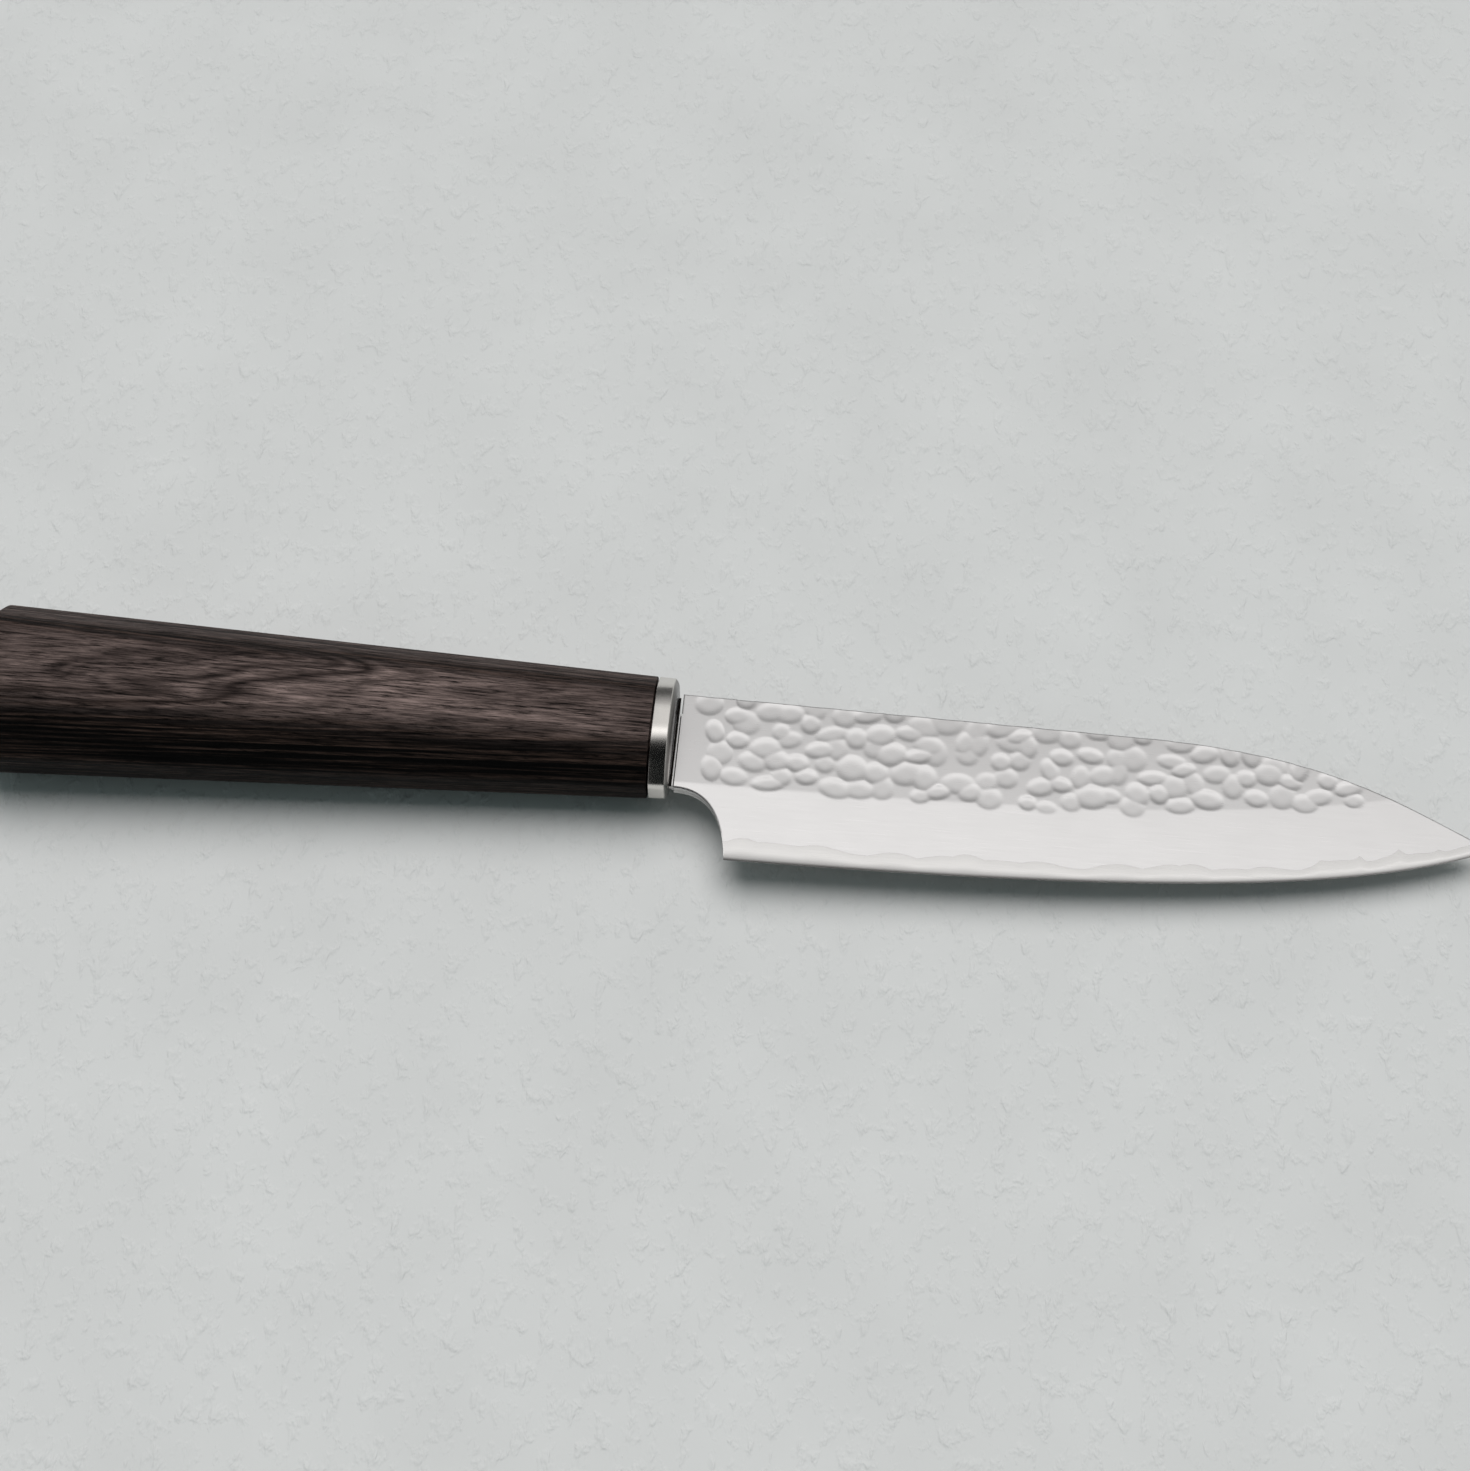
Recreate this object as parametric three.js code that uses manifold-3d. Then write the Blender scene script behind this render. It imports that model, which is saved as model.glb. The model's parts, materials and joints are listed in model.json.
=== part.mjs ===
// Petty knife: a three-layer hammered blade on a stick tang, a steel collar and an octagonal handle.
// Millimetres. The knife lies on its side as on a table: +X to the tip, +Y to the spine, +Z up.
// Each piece is drawn in the knife's own axes, where x = 0 is the collar's front rim, the x axis is
// the handle's centre line and z = 0 is the blade's middle plane. One group then lays the knife down.

import * as THREE from 'three';
import { mergeVertices } from 'three/addons/utils/BufferGeometryUtils.js';
import Module from 'manifold-3d';

const wasm = await Module();
wasm.setup();

// Blade outline, from the collar's front rim along x and from the centre line along y.
const bladeLength = 120;
const heelSetback = 10.5;
const heelDrop = 21.15;
const tipDrop = 9.1;
const rootGap = 1.5;
const neckDrop = 9.4;
const spineRise = 7.9;
const spineStraight = 74;
const spineFall = 1.5;
const spineSweep = 30;
const tipSweep = 15;
const tipSlopeSpine = 0.5;
const tipSlopeEdge = 0.44;
const edgeSweepHeel = 56;
const edgeSweepTip = 23.5;
const choilReach = 6.1;
const choilDepth = 6.6;
const choilLean = 0.6;

// Blade section: flat hammered faces above, a ground bevel below and a fine cutting bevel.
const rootThickness = 2.0;
const tipThickness = 0.9;
const bevelWidth = 12.7;
const edgeThickness = 0.3;
const cuttingBevel = 0.45;
const cuttingLand = 0.05;

// Three layers: the core comes out of the bevel below a wavy line.
const claddingHeel = 3.3;
const claddingTip = 2.2;
const claddingWave = 0.28;
const claddingWaveLength = 11.5;
const claddingSwell = 0.32;
const claddingSwellLength = 31;
const claddingLip = 0.04;
const claddingEndHeight = 0.7;
const bondGap = 0.04;

// Hammer blows on both faces.
const hammerStart = 7.2;
const hammerEnd = 113;
const blowPitchAlong = 4.1;
const blowPitchAcross = 3.3;
const blowHalfLength = 2.15;
const blowHalfWidth = 1.9;
const blowTurn = 0.35;
const blowDepth = 0.11;
const blowJitter = 0.36;
const blowSpread = 0.32;
const blowForce = 0.3;
const blowReach = 1.4;
const firstRowDrop = 1.0;
const rightSeed = 4711;
const leftSeed = 1933;

// Tang and neck.
const tangLength = 76;
const tangRise = 4.1;
const tangDrop = 7.0;
const tangThickness = 1.5;
const tangTipHeight = 5;
const neckStep = 0.4;

// Collar and handle: softened octagons that taper from the butt to the collar's rim.
const collarLength = 2.55;
const collarCrown = 0.7;
const crownInset = 1.4;
const crownStart = Math.PI / 4;
const collarPlate = 1.6;
const collarWall = 1.2;
const rimHeight = 20.4;
const rimThickness = 14.1;
const rimFacet = 4.95;
const handleLength = 112;
const buttHeight = 29.15;
const buttThickness = 19.2;
const buttFacet = 7.0;
const faceRidgeRadius = 8;
const sideRidgeRadius = 2;
const buttRound = 1.6;

// Adhesive bed round the tang, and the hairline gaps between separate pieces.
const bedThickness = 1.3;
const bedDepth = 4;
const seam = 0.3;

// Fineness of the faceted forms.
const stationPitch = 1.05;
const leastShare = 0.02;
const choilStations = 9;
const hammerRows = 14;
const ridgeSteps = 4;
const roundSteps = 3;
const slotSteps = 6;

// Places that follow from the sizes above.
const heelX = heelSetback;
const tipX = heelX + bladeLength;
const seatX = collarCrown + seam;
const woodX = -collarLength - seam;
const cupX = collarCrown - collarPlate;
const spigotX = cupX - seam;
const tangX = seatX - tangLength;
const boreX = tangX - bedDepth;
const lieAngle = Math.atan2((buttThickness - rimThickness) / 2, handleLength);

// Outline curves in the blade's plane.
const spineBreak = new THREE.Vector2(rootGap + spineStraight, spineRise - spineFall);
const tip = new THREE.Vector2(tipX, -tipDrop);
const heel = new THREE.Vector2(heelX, -heelDrop);
const spineSlope = spineFall / spineStraight;
const spineCurve = new THREE.CubicBezierCurve(
  spineBreak,
  new THREE.Vector2(spineBreak.x + spineSweep, spineBreak.y - spineSweep * spineSlope),
  new THREE.Vector2(tip.x - tipSweep, tip.y + tipSweep * tipSlopeSpine),
  tip,
);
const edgeCurve = new THREE.CubicBezierCurve(
  heel,
  new THREE.Vector2(heel.x + edgeSweepHeel, heel.y),
  new THREE.Vector2(tip.x - edgeSweepTip, tip.y - edgeSweepTip * tipSlopeEdge),
  tip,
);
const choilCurve = new THREE.CubicBezierCurve(
  new THREE.Vector2(rootGap, -neckDrop),
  new THREE.Vector2(rootGap + choilReach, -neckDrop),
  new THREE.Vector2(heel.x - choilLean, heel.y + choilDepth),
  heel,
);

// Height of a curve that runs steadily along x.
function heightAt(curve, x) {
  let low = 0;
  let high = 1;
  for (let i = 0; i < 48; i += 1) {
    const middle = (low + high) / 2;
    if (curve.getPoint(middle).x < x) {
      low = middle;
    } else {
      high = middle;
    }
  }
  return curve.getPoint((low + high) / 2).y;
}

function spineAt(x) {
  if (x <= spineBreak.x) {
    return spineRise - (x - rootGap) * spineSlope;
  }
  return heightAt(spineCurve, x);
}

// The cutting edge, carried on level from the heel to the neck as the bevel's lower limit.
function edgeAt(x) {
  return x <= heel.x ? heel.y : heightAt(edgeCurve, x);
}

function lowerAt(x) {
  return x <= heel.x ? heightAt(choilCurve, x) : edgeAt(x);
}

// Half the blade's thickness: the flat above, and the bevel at a height over the edge.
function flatHalf(x) {
  return THREE.MathUtils.lerp(rootThickness, tipThickness, (x - rootGap) / (tipX - rootGap)) / 2;
}

function bevelHalf(x, above) {
  const rise = above / bevelWidth;
  return edgeThickness / 2 + (flatHalf(x) - edgeThickness / 2) * rise;
}

// The cladding's lower line over the edge: it sinks from heel to tip, with a wave on a longer swell.
function claddingAt(x) {
  const along = Math.max(x - heelX, 0);
  const line = THREE.MathUtils.lerp(claddingHeel, claddingTip, along / bladeLength);
  const wave = claddingWave * Math.sin((2 * Math.PI * along) / claddingWaveLength);
  const swell = claddingSwell * Math.sin((2 * Math.PI * along) / claddingSwellLength);
  return line + wave + swell;
}

// Half the core's thickness, so that it comes out of the bevel just below the cladding's line.
function coreHalf(x) {
  return bevelHalf(x, claddingAt(x)) - claddingLip - bondGap;
}

function seededRandom(seed) {
  let state = seed;
  return () => {
    state = (state * 16807) % 2147483647;
    return state / 2147483647;
  };
}

// Oval hammer blows in staggered rows along the spine, each moved, sized and turned a little by chance.
function hammerBlows(seed) {
  const random = seededRandom(seed);
  const chance = (share) => (random() * 2 - 1) * share;
  const blows = [];
  const columns = Math.floor((hammerEnd - hammerStart) / blowPitchAlong);
  const rows = Math.ceil((spineRise + heelDrop - bevelWidth) / blowPitchAcross);
  for (let row = 0; row < rows; row += 1) {
    for (let column = 0; column <= columns; column += 1) {
      const shift = (row % 2) / 2 + chance(blowJitter);
      const x = hammerStart + (column + shift) * blowPitchAlong;
      const drop = firstRowDrop + (row + chance(blowJitter)) * blowPitchAcross;
      const long = blowHalfLength * (1 + chance(blowSpread));
      const wide = blowHalfWidth * (1 + chance(blowSpread));
      const turn = chance(blowTurn);
      const depth = blowDepth * (1 + chance(blowForce));
      const y = spineAt(x) - drop;
      if (y > edgeAt(x) + bevelWidth - blowReach / 2 && y > lowerAt(x) + wide / 2) {
        blows.push({ x, y, long, wide, turn, depth });
      }
    }
  }
  return blows;
}

// A blow leaves a dent that is almost flat inside and steep at its rim.
function dentAt(blows, x, y) {
  const origin = new THREE.Vector2();
  let dent = 0;
  for (const blow of blows) {
    const offset = new THREE.Vector2(x - blow.x, y - blow.y).rotateAround(origin, -blow.turn);
    const near = (offset.x / blow.long) ** 2 + (offset.y / blow.wide) ** 2;
    dent = Math.max(dent, blow.depth * (1 - near ** 2));
  }
  return dent;
}

// A closed geometry over rings of points, one ring for each x, all running the same way round.
function loft(rings) {
  const count = rings[0].points.length;
  const positions = rings.flatMap(({ x, points }) => points.flatMap(([y, z]) => [x, y, z]));
  const indices = [];
  for (let ring = 0; ring + 1 < rings.length; ring += 1) {
    for (let side = 0; side < count; side += 1) {
      const a = ring * count + side;
      const b = ring * count + ((side + 1) % count);
      indices.push(a, b, b + count, a, b + count, a + count);
    }
  }
  const lastStart = (rings.length - 1) * count;
  const flatten = (points) => points.map(([y, z]) => new THREE.Vector2(y, z));
  for (const [a, b, c] of THREE.ShapeUtils.triangulateShape(flatten(rings[0].points), [])) {
    indices.push(a, c, b);
  }
  for (const [a, b, c] of THREE.ShapeUtils.triangulateShape(flatten(rings.at(-1).points), [])) {
    indices.push(lastStart + a, lastStart + b, lastStart + c);
  }
  const geometry = new THREE.BufferGeometry();
  geometry.setAttribute('position', new THREE.Float32BufferAttribute(positions, 3));
  geometry.setIndex(indices);
  return geometry;
}

function toSolid(geometry) {
  const bare = geometry.clone();
  bare.deleteAttribute('normal');
  bare.deleteAttribute('uv');
  const merged = mergeVertices(bare);
  const vertProperties = new Float32Array(merged.getAttribute('position').array);
  const triVerts = new Uint32Array(merged.getIndex().array);
  return new wasm.Manifold(new wasm.Mesh({ numProp: 3, vertProperties, triVerts }));
}

function toGeometry(solid) {
  const mesh = solid.getMesh();
  const geometry = new THREE.BufferGeometry();
  geometry.setAttribute('position', new THREE.Float32BufferAttribute(mesh.vertProperties, 3));
  geometry.setIndex(Array.from(mesh.triVerts));
  geometry.computeVertexNormals();
  return geometry;
}

// Stations along the blade: close together in the choil's curve, then evenly spaced to the tip.
function bladeStations(endX) {
  const stations = [];
  for (let i = 0; i < choilStations; i += 1) {
    stations.push(choilCurve.getPoint(i / choilStations).x);
  }
  const steps = Math.ceil((endX - heelX) / stationPitch);
  for (let i = 0; i <= steps; i += 1) {
    stations.push(THREE.MathUtils.lerp(heelX, endX, i / steps));
  }
  return stations;
}

// Where the cladding's line, running up towards the tip, leaves only its end height under the spine.
function claddingEnd() {
  let x = tipX;
  while (spineAt(x) - edgeAt(x) - claddingAt(x) < claddingEndHeight) {
    x -= bondGap;
  }
  return x;
}

// One section of the core: cutting edge, bevel, and the flat sides under the cladding.
// Near the tip and in the choil its corners keep a least share of the height between them.
function coreSection(x) {
  const low = lowerAt(x);
  const high = spineAt(x);
  const edge = edgeAt(x);
  const side = Math.min(coreHalf(x), bevelHalf(x, high - edge));
  const shoulder = Math.min(low + cuttingBevel, (low + high) / 2);
  const least = (high - shoulder) * leastShare;
  const emerge = (side - edgeThickness / 2) / (flatHalf(x) - edgeThickness / 2);
  const flat = THREE.MathUtils.clamp(edge + emerge * bevelWidth, shoulder + least, high - least);
  const land = Math.min(side, x < heelX ? bevelHalf(x, low - edge) : cuttingLand / 2);
  const lip = Math.min(side, bevelHalf(x, shoulder - edge));
  const half = [[low, land], [shoulder, lip], [flat, side], [high, side]];
  const under = half.map(([y, z]) => [y, -z]);
  return { x, points: [...under, ...half.reverse()] };
}

function tangOutline(grow) {
  const bottom = -tangDrop - grow;
  const top = tangRise + grow;
  const middle = (bottom + top) / 2;
  const tipHalf = tangTipHeight / 2 + grow;
  const end = tangX - grow;
  const inside = rootGap + (heelX - rootGap) / 4;
  const shape = new THREE.Shape();
  shape.moveTo(inside, -neckDrop + neckStep);
  shape.lineTo(inside, top);
  shape.lineTo(end + tipHalf, middle + tipHalf);
  shape.absarc(end + tipHalf, middle, tipHalf, Math.PI / 2, Math.PI * 1.5, false);
  shape.lineTo(seatX, bottom);
  shape.lineTo(seatX, -neckDrop + neckStep);
  return shape;
}

function tangLayer(grow, low, high) {
  const settings = { depth: high - low, bevelEnabled: false, curveSegments: slotSteps };
  return new THREE.ExtrudeGeometry(tangOutline(grow), settings).translate(0, 0, low);
}

function bladeCore() {
  const stations = bladeStations(tipX - edgeThickness);
  const blade = toSolid(loft(stations.map(coreSection)));
  const half = coreHalf(rootGap);
  return toGeometry(blade.add(toSolid(tangLayer(0, -half, half))));
}

// One section of a cladding layer: flat inside, hammered and bevelled outside.
function claddingSection(x, blows, side) {
  const edge = edgeAt(x);
  const high = spineAt(x);
  const low = Math.max(lowerAt(x), edge + claddingAt(x));
  const inner = coreHalf(x) + bondGap;
  const foot = Math.min(edge + bevelWidth - blowReach, low + (high - low) / 2);
  const start = Math.max(foot, low + (high - low) / (hammerRows + 1));
  const outside = [];
  for (let row = 0; row <= hammerRows; row += 1) {
    const y = THREE.MathUtils.lerp(start, high, row / hammerRows);
    const face = Math.min(flatHalf(x) - dentAt(blows, x, y), bevelHalf(x, y - edge));
    outside.push([y, face]);
  }
  outside.unshift([low, Math.min(flatHalf(x), bevelHalf(x, low - edge))]);
  const points = [[low, inner], [high, inner], ...outside.reverse()];
  if (side > 0) {
    return { x, points };
  }
  return { x, points: points.map(([y, z]) => [y, -z]).reverse() };
}

function claddingLayer(seed, side) {
  const blows = hammerBlows(seed);
  const stations = bladeStations(claddingEnd());
  const blade = toSolid(loft(stations.map((x) => claddingSection(x, blows, side))));
  const inner = coreHalf(rootGap) + bondGap;
  const outer = tangThickness / 2;
  const low = side > 0 ? inner : -outer;
  const high = side > 0 ? outer : -inner;
  return toGeometry(blade.add(toSolid(tangLayer(0, low, high))));
}

// The handle's octagon at a station, drawn in by an inset. Its ridges are broadly rounded along the
// wide faces and crisper along the narrow sides.
function octagon(x, inset) {
  const along = -x / handleLength;
  const high = THREE.MathUtils.lerp(rimHeight, buttHeight, along) / 2 - inset;
  const wide = THREE.MathUtils.lerp(rimThickness, buttThickness, along) / 2 - inset;
  const facet = THREE.MathUtils.lerp(rimFacet, buttFacet, along) - inset * (2 - Math.SQRT2);
  const corners = [
    [high, facet - wide, sideRidgeRadius],
    [high, wide - facet, sideRidgeRadius],
    [high - facet, wide, faceRidgeRadius],
    [facet - high, wide, faceRidgeRadius],
    [-high, wide - facet, sideRidgeRadius],
    [-high, facet - wide, sideRidgeRadius],
    [facet - high, -wide, faceRidgeRadius],
    [high - facet, -wide, faceRidgeRadius],
  ];
  const points = [];
  corners.forEach(([y, z, ridge], corner) => {
    const radius = Math.max(ridge - inset, ridge / 4);
    const turn = (corner - 0.5) * (Math.PI / 4);
    const reach = radius / Math.cos(Math.PI / 8);
    const centre = [y - reach * Math.cos(turn), z - reach * Math.sin(turn)];
    for (let step = 0; step <= ridgeSteps; step += 1) {
      const angle = turn + (step / ridgeSteps - 0.5) * (Math.PI / 4);
      points.push([centre[0] + radius * Math.cos(angle), centre[1] + radius * Math.sin(angle)]);
    }
  });
  return points;
}

// A straight slot along x, drawn round the tang's section at the collar.
function slotAlong(fromX, toX, grow) {
  const high = tangRise + grow;
  const low = -tangDrop - grow;
  const radius = tangThickness / 2 + grow;
  const shape = new THREE.Shape();
  shape.absarc(high - radius, 0, radius, -Math.PI / 2, Math.PI / 2, false);
  shape.absarc(low + radius, 0, radius, Math.PI / 2, Math.PI * 1.5, false);
  const settings = { depth: toX - fromX, bevelEnabled: false, curveSegments: slotSteps };
  const geometry = new THREE.ExtrudeGeometry(shape, settings);
  const axes = new THREE.Matrix4().makeBasis(
    new THREE.Vector3(0, 1, 0),
    new THREE.Vector3(0, 0, 1),
    new THREE.Vector3(1, 0, 0),
  );
  return geometry.applyMatrix4(axes).translate(fromX, 0, 0);
}

// A rounded edge between a side and an end face: pairs of depth below the face and inset.
// A start angle of 0 leaves the side smoothly, and a larger one leaves a crisp rim.
function roundedEdge(depth, inset, start) {
  const pairs = [];
  for (let step = 0; step <= roundSteps; step += 1) {
    const angle = THREE.MathUtils.lerp(start, Math.PI / 2, step / roundSteps);
    const below = depth * ((1 - Math.sin(angle)) / (1 - Math.sin(start)));
    pairs.push([below, inset * (1 - Math.cos(angle) / Math.cos(start))]);
  }
  return pairs;
}

// A cup with a straight band, a crisp rim, a crowned front and a slot for the tang.
function collar() {
  const crown = roundedEdge(collarCrown, crownInset, crownStart).map(([depth, inset]) => {
    const x = collarCrown - depth;
    return { x, points: octagon(x, inset) };
  });
  const outside = toSolid(loft([{ x: -collarLength, points: octagon(-collarLength, 0) }, ...crown]));
  const cup = loft([woodX, cupX].map((x) => ({ x, points: octagon(x, collarWall) })));
  const slot = slotAlong(spigotX, seatX, seam);
  return toGeometry(outside.subtract(toSolid(cup)).subtract(toSolid(slot)));
}

// A tapered body with a rounded butt, a spigot for the collar and a bore for the tang's bed.
function handle() {
  const butt = roundedEdge(buttRound, buttRound, 0).reverse().map(([depth, inset]) => {
    const x = -handleLength + depth;
    return { x, points: octagon(x, inset) };
  });
  const body = toSolid(loft([...butt, { x: woodX, points: octagon(woodX, 0) }]));
  const spigotInset = collarWall + seam;
  const spigot = [woodX - bedDepth, spigotX].map((x) => ({ x, points: octagon(x, spigotInset) }));
  const bore = slotAlong(boreX, spigotX + seam, bedThickness);
  return toGeometry(body.add(toSolid(loft(spigot))).subtract(toSolid(bore)));
}

function tangAdhesive() {
  const bed = slotAlong(boreX + seam, spigotX, bedThickness - seam);
  const half = tangThickness / 2 + seam;
  return toGeometry(toSolid(bed).subtract(toSolid(tangLayer(seam, -half, half))));
}

function steel(color, roughness) {
  return new THREE.MeshStandardMaterial({ color, roughness, metalness: 1 });
}

function add(group, name, geometry, material) {
  const mesh = new THREE.Mesh(geometry, material);
  mesh.name = name;
  group.add(mesh);
}

const knife = new THREE.Group();
add(knife, 'blade_core', bladeCore(), steel(0xbcbec0, 0.3));
add(knife, 'cladding_right', claddingLayer(rightSeed, 1), steel(0xd2d2d0, 0.35));
add(knife, 'cladding_left', claddingLayer(leftSeed, -1), steel(0xd2d2d0, 0.35));
add(knife, 'collar', collar(), steel(0xc4c1bd, 0.28));
const wood = new THREE.MeshStandardMaterial({ color: 0x40322e, roughness: 0.5, metalness: 0 });
add(knife, 'handle', handle(), wood);
const resin = new THREE.MeshStandardMaterial({ color: 0x8a7a52, roughness: 0.4, metalness: 0 });
add(knife, 'tang_adhesive', tangAdhesive(), resin);

// Laid down on the handle's lower flat, with the origin under the middle of the knife.
knife.rotation.y = lieAngle;
const box = new THREE.Box3().setFromObject(knife, true);
const middle = box.getCenter(new THREE.Vector3());
knife.position.set(-middle.x, -middle.y, -box.min.z);

const part = new THREE.Group();
part.add(knife);

export default part;
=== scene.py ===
# %% [markdown]
# # A hammered petty knife
# A petty knife is a small kitchen knife. This one has a blade of three welded layers of steel, hammered
# above and ground below, a steel collar, and an eight-sided handle of dark pressed veneers. The packed
# CAD model says where every piece is. This lesson dresses it with finer meshes, materials made from
# nodes, a pale table and one broad soft light.

# %% Load the frame
import json
import math

import bpy
import numpy as np
from mathutils import Matrix, Vector


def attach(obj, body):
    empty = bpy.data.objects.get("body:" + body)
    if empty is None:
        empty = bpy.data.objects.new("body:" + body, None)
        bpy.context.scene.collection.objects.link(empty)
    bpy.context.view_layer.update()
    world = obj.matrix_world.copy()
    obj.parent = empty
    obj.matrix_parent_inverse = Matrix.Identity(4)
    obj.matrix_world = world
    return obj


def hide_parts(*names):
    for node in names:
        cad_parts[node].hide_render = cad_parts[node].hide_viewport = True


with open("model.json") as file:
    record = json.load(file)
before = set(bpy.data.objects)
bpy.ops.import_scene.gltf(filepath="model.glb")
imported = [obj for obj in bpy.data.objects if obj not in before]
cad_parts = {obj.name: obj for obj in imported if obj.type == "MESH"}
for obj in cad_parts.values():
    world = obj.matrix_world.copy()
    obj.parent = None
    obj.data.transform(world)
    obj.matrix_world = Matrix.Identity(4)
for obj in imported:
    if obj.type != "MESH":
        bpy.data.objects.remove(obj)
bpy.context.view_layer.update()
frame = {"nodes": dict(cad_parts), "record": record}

print("CAD nodes:", ", ".join(sorted(frame["nodes"])))

# %% [markdown]
# ## The knife's own axes
# The handle is thicker at the butt than at the collar, so the knife lies on the table tipped by a little
# more than a degree. Every point could be worked out in the table's axes. Axes that belong to the knife
# keep the sizes plain instead: x = 0 at the collar's front rim and x grows to the tip, y to the spine,
# z = 0 in the middle of the blade, in millimetres. The mount on the butt leads back to the frame.

# %% Knife axes from the mount on the butt
HANDLE_LENGTH = 112.0
butt = next(m for m in frame["record"]["mounts"] if m["name"] == "butt_end")
lie_angle = math.atan2(butt["axis"][2], -butt["axis"][0])
to_frame = Matrix.Translation(butt["pos_m"]) @ Matrix.Rotation(lie_angle, 4, "Y")
to_frame = to_frame @ Matrix.Scale(0.001, 4) @ Matrix.Translation((HANDLE_LENGTH, 0, 0))
print("the knife lies tipped by %.2f degrees" % math.degrees(lie_angle))

# %% [markdown]
# ## The blade's outline
# The blade lies between three lines: a spine that runs straight and then sweeps down to the tip, a
# cutting edge, and the choil, the hollow between the neck and the heel. Blender's curve objects could
# hold them. The meshes need a height for any x, so each line is a curve of four control points that is
# sampled finely and read between the samples. The sizes are those of the CAD model.

# %% Spine, edge and choil
ROOT_X, HEEL_X, TIP_X = 1.5, 10.5, 130.5
SPINE_Y, EDGE_Y, NECK_Y, TIP_Y = 7.9, -21.15, -9.4, -9.1
SPINE_BREAK = (75.5, 6.4)
SPINE_SLOPE = 1.5 / 74


def bezier(*points, count=600):
    t = np.linspace(0, 1, count)[:, None]
    a, b, c, d = np.array(points, float)
    return (1 - t) ** 3 * a + 3 * t * (1 - t) ** 2 * b + 3 * t**2 * (1 - t) * c + t**3 * d


spine_curve = bezier(SPINE_BREAK, (105.5, 6.4 - 30 * SPINE_SLOPE), (115.5, -1.6), (TIP_X, TIP_Y))
edge_curve = bezier((HEEL_X, EDGE_Y), (66.5, EDGE_Y), (107.0, -19.44), (TIP_X, TIP_Y))
choil_curve = bezier((ROOT_X, NECK_Y), (7.6, NECK_Y), (9.9, -14.55), (HEEL_X, EDGE_Y))
print("blade: %.0f mm from heel to tip" % (TIP_X - HEEL_X))

# %% Heights at any x
def spine_at(x):
    straight = SPINE_Y - (x - ROOT_X) * SPINE_SLOPE
    return np.where(x <= SPINE_BREAK[0], straight, np.interp(x, *spine_curve.T))


def edge_at(x):
    return np.interp(x, *edge_curve.T)


def lower_at(x):
    return np.where(x <= HEEL_X, np.interp(x, *choil_curve.T), edge_at(x))


print("blade: %.1f mm high at the heel" % (spine_at(HEEL_X) - EDGE_Y))

# %% [markdown]
# ## The blade's section
# The faces are flat above and ground to a bevel below. A hard core runs through the middle. Along the
# edge the softer cladding has been ground away, and the core shows as a band under a wavy line. The band
# could be painted on one solid, but on the real blade the layers are separate steels. So each layer has
# its own mesh here, and the line is the place where two meshes meet.

# %% Thickness of the blade and of its core
ROOT_THICK, TAPER = 2.0, 1.1
BEVEL, EDGE_THICK, CUTTING = 12.7, 0.3, 0.45
LIP, BOND = 0.012, 0.004
BAND_HEEL, BAND_TAPER = 3.3, 1.1
# Height and length of each wave in the cladding line.
SHORT_WAVE, LONG_WAVE, SCALLOP, DRIFT = (0.28, 11.5), (0.32, 31), (0.4, 14), (1.1, 37)
SCALLOP_DROP = 0.25
PEAKS_START, PEAKS_GROW, PEAK_LENGTH = 88, 8, 12.4


def flat_half(x):
    return (ROOT_THICK - TAPER * (x - ROOT_X) / (TIP_X - ROOT_X)) / 2


def bevel_half(x, above):
    return EDGE_THICK / 2 + (flat_half(x) - EDGE_THICK / 2) * above / BEVEL


def wave(turn, size):
    return size[0] * np.sin(turn / size[1])


def cladding_at(x):
    along = np.maximum(x - HEEL_X, 0)
    turn = 2 * math.pi * along
    waves = wave(turn, SHORT_WAVE) + wave(turn, LONG_WAVE)
    scallops = SCALLOP[0] * np.abs(np.sin(turn / SCALLOP[1] + wave(turn, DRIFT))) - SCALLOP_DROP
    grow = np.clip((along - PEAKS_START) / PEAKS_GROW, 0, 1)
    peaks = grow * (1 - np.abs(np.sin(turn / PEAK_LENGTH))) ** 2
    return BAND_HEEL - BAND_TAPER * along / (TIP_X - HEEL_X) + waves + scallops + peaks


def core_half(x):
    return bevel_half(x, cladding_at(x)) - LIP


print("core: %.2f mm thick at the heel, of %.2f mm" % (2 * core_half(HEEL_X), 2 * flat_half(HEEL_X)))

# %% [markdown]
# ## Meshes from rings
# Box modelling and modifiers could make these shapes, but a blade and a handle change little by little
# along their length. So every piece is a row of rings, one for each place along the knife, joined by
# quads. Two rings close together make a square step, and a row that closes on itself makes a tube.

# %% Loft
def loft(name, rings, closed=False):
    rings = np.array(rings, float)
    count, sides = rings.shape[:2]
    a = np.arange(count * sides).reshape(count, sides)
    b = np.roll(a, -1, axis=1)
    after, after_b = np.roll(a, -1, axis=0), np.roll(b, -1, axis=0)
    quads = np.stack([a, b, after_b, after], axis=-1)
    faces = (quads if closed else quads[:-1]).reshape(-1, 4).tolist()
    if not closed:
        faces += [a[0, ::-1].tolist(), a[-1].tolist()]
    mesh = bpy.data.meshes.new(name)
    mesh.from_pydata(rings.reshape(-1, 3).tolist(), [], faces)
    mesh.update()
    print("%s: %d rings of %d points" % (name, count, sides))
    return mesh


def on_x(x, points):
    return np.column_stack([np.full(len(points), x), points])


# %% [markdown]
# ## From mesh to piece
# A mesh can carry painted values, which materials and geometry nodes read by name. Each finished mesh
# first keeps its knife coordinates that way, as `knife_mm`, because steel and wood have patterns that run
# along the knife. Then its points go to the frame, and the object itself stays at the origin. The last
# calls say which CAD node the piece stands for and what it is made of.

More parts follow.
